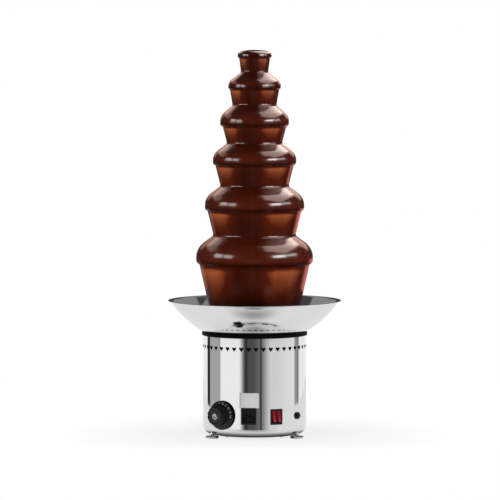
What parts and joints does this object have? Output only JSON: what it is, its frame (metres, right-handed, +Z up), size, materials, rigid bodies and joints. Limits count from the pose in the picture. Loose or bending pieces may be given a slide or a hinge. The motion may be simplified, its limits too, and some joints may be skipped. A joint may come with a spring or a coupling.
{
  "type": "chocolate fountain",
  "caption": "Free-standing chocolate fountain: polished steel base with a control panel, a wide bowl, and a lift-off tower of domes fed by an auger.",
  "frame": {"origin": "on the table under the tower's axis", "axes": "+Z up along the tower, -Y out of the control panel's side, +X to the right seen from the panel"},
  "size_m": [0.358, 0.358, 0.8001],
  "materials": {
    "polished_steel": "mirror polished",
    "plain_steel": "satin",
    "chrome": "polished",
    "dark_metal": "dark oxide",
    "black_rubber": "matte",
    "cast_aluminium": "as cast",
    "insulation": "felted",
    "copper": "varnished",
    "bearing_bronze": "machined",
    "gear_nylon": "moulded",
    "chocolate": "wet gloss",
    "black_plastic": "moulded",
    "red_lens": "translucent red",
    "grey_button": "moulded",
    "lead_insulation": "smooth"
  },
  "bodies": {
    "base": {"housing_can": "polished_steel", "bowl": "polished_steel", "bottom_cover": "plain_steel", "cover_screws": "plain_steel", "top_plate": "plain_steel", "bowl_studs": "plain_steel", "bowl_collar": "plain_steel", "drive_bolts": "plain_steel", "stator_core": "plain_steel", "inlet_pins": "plain_steel", "foot_sockets": "dark_metal", "motor_can": "dark_metal", "motor_endcap": "dark_metal", "gasket_ring": "black_rubber", "shaft_seal": "black_rubber", "heater_ring": "cast_aluminium", "gear_case": "cast_aluminium", "gear_case_lid": "cast_aluminium", "insulation_pad": "insulation", "stator_windings": "copper", "thermostat_bulb": "copper", "bearings": "bearing_bronze", "chocolate_pool": "chocolate", "thermostat_body": "black_plastic", "panel_nuts": "black_plastic", "inlet_body": "black_plastic", "switch_body": "black_plastic", "breaker_body": "black_plastic", "wiring_leads": "lead_insulation"},
    "tower": {"tower_tube": "polished_steel", "dome_stops": "plain_steel", "crown_cup": "polished_steel", "chocolate_crown": "chocolate", "dome_1": "polished_steel", "dome_2": "polished_steel", "dome_3": "polished_steel", "dome_4": "polished_steel", "dome_5": "polished_steel", "chocolate_tier_1": "chocolate", "chocolate_tier_2": "chocolate", "chocolate_tier_3": "chocolate", "chocolate_tier_4": "chocolate", "chocolate_tier_5": "chocolate"},
    "drive": {"drive_shaft": "plain_steel", "drive_gear": "gear_nylon", "drive_pin": "plain_steel", "auger_shaft": "plain_steel", "auger_flight": "plain_steel"},
    "motor_rotor": {"rotor": "plain_steel"},
    "temperature_knob": {"thermostat_spindle": "plain_steel", "thermostat_knob": "black_plastic", "knob_cap": "chrome"},
    "motor_switch": {"motor_rocker": "red_lens"},
    "heater_switch": {"heater_rocker": "red_lens"},
    "reset": {"reset_button": "grey_button"},
    "fuse_holder": {"fuse_drawer": "black_plastic"},
    "left_foot": {"foot_left": "chrome"},
    "right_foot": {"foot_right": "chrome"},
    "rear_foot": {"foot_rear": "chrome"}
  },
  "joints": [
    {"name": "tower_lift", "type": "slide", "parent": "base", "child": "tower", "axis": [0, 0, 1], "range_m": [0, 0.56]},
    {"name": "auger_spin", "type": "hinge", "parent": "base", "child": "drive", "pos_m": [0, 0, 0.2], "axis": [0, 0, 1], "continuous": true},
    {"name": "rotor_spin", "type": "hinge", "parent": "base", "child": "motor_rotor", "pos_m": [0, 0.0525, 0.12], "axis": [0, 0, 1], "continuous": true},
    {"name": "knob_turn", "type": "hinge", "parent": "base", "child": "temperature_knob", "pos_m": [-0.06618, -0.08471, 0.051], "axis": [-0.6157, -0.788, 0], "range_deg": [-150, 120]},
    {"name": "motor_rocker_tilt", "type": "hinge", "parent": "base", "child": "motor_switch", "pos_m": [0.03903, -0.09871, 0.049], "axis": [0.9092, 0.4163, 0], "range_deg": [0, 20]},
    {"name": "heater_rocker_tilt", "type": "hinge", "parent": "base", "child": "heater_switch", "pos_m": [0.04922, -0.09405, 0.049], "axis": [0.9092, 0.4163, 0], "range_deg": [0, 20]},
    {"name": "reset_press", "type": "slide", "parent": "base", "child": "reset", "axis": [-0.8141, 0.5807, 0], "range_m": [0, 0.0025], "stiffness_N_per_m": 400, "springref_m": -0.002},
    {"name": "fuse_drawer_pull", "type": "slide", "parent": "base", "child": "fuse_holder", "axis": [-0.1115, -0.9938, 0], "range_m": [0, 0.018]},
    {"name": "foot_left_screw", "type": "slide", "parent": "base", "child": "left_foot", "axis": [0, 0, -1], "range_m": [0, 0.008]},
    {"name": "foot_right_screw", "type": "slide", "parent": "base", "child": "right_foot", "axis": [0, 0, -1], "range_m": [0, 0.008]},
    {"name": "foot_rear_screw", "type": "slide", "parent": "base", "child": "rear_foot", "axis": [0, 0, -1], "range_m": [0, 0.008]}
  ],
  "couplings": [
    {"joint": "rotor_spin", "follows": "auger_spin", "ratio": -6}
  ]
}
